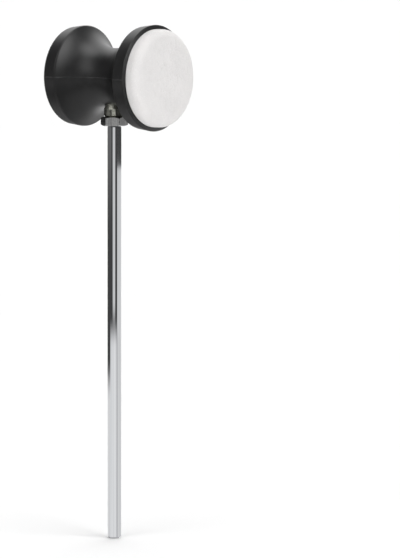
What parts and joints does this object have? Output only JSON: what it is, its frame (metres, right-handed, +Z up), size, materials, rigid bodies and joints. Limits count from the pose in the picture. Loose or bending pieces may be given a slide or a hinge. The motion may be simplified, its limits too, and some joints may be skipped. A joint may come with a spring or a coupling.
{
  "type": "bass drum beater",
  "caption": "Bass drum beater: a black spool-shaped head with a white felt face and a hard domed face, screwed onto a straight bright rod and held by a hex lock nut.",
  "frame": {"origin": "on the rod's centre line where a pedal's hub clamps it, 20 mm above the rod's lower tip", "axes": "+Z up the rod towards the head, -Y the way the felt face strikes, X across the head"},
  "size_m": [0.0482, 0.0557, 0.2381],
  "materials": {
    "chromed_steel": "bright chrome plate, drawn lengthwise",
    "nut_steel": "zinc or chrome plate, lightly brushed",
    "nickelled_insert": "turned, nickel plated",
    "black_moulding": "satin moulded black",
    "bond_film": "thin adhesive film",
    "white_felt": "dense pressed white felt"
  },
  "bodies": {
    "shaft": {"beater_shaft": "chromed_steel"},
    "nut": {"lock_nut": "nut_steel"},
    "head": {"head_spool": "black_moulding", "threaded_insert": "nickelled_insert", "felt_adhesive": "bond_film", "felt_disc": "white_felt"}
  },
  "joints": [
    {"name": "head_turn", "type": "hinge", "parent": "shaft", "child": "head", "pos_m": [0, 0, 0.194], "axis": [0, 0, 1], "range_deg": [-180, 180]},
    {"name": "nut_turn", "type": "hinge", "parent": "shaft", "child": "nut", "pos_m": [0, 0, 0.1737], "axis": [0, 0, 1], "range_deg": [-120, 0]}
  ]
}
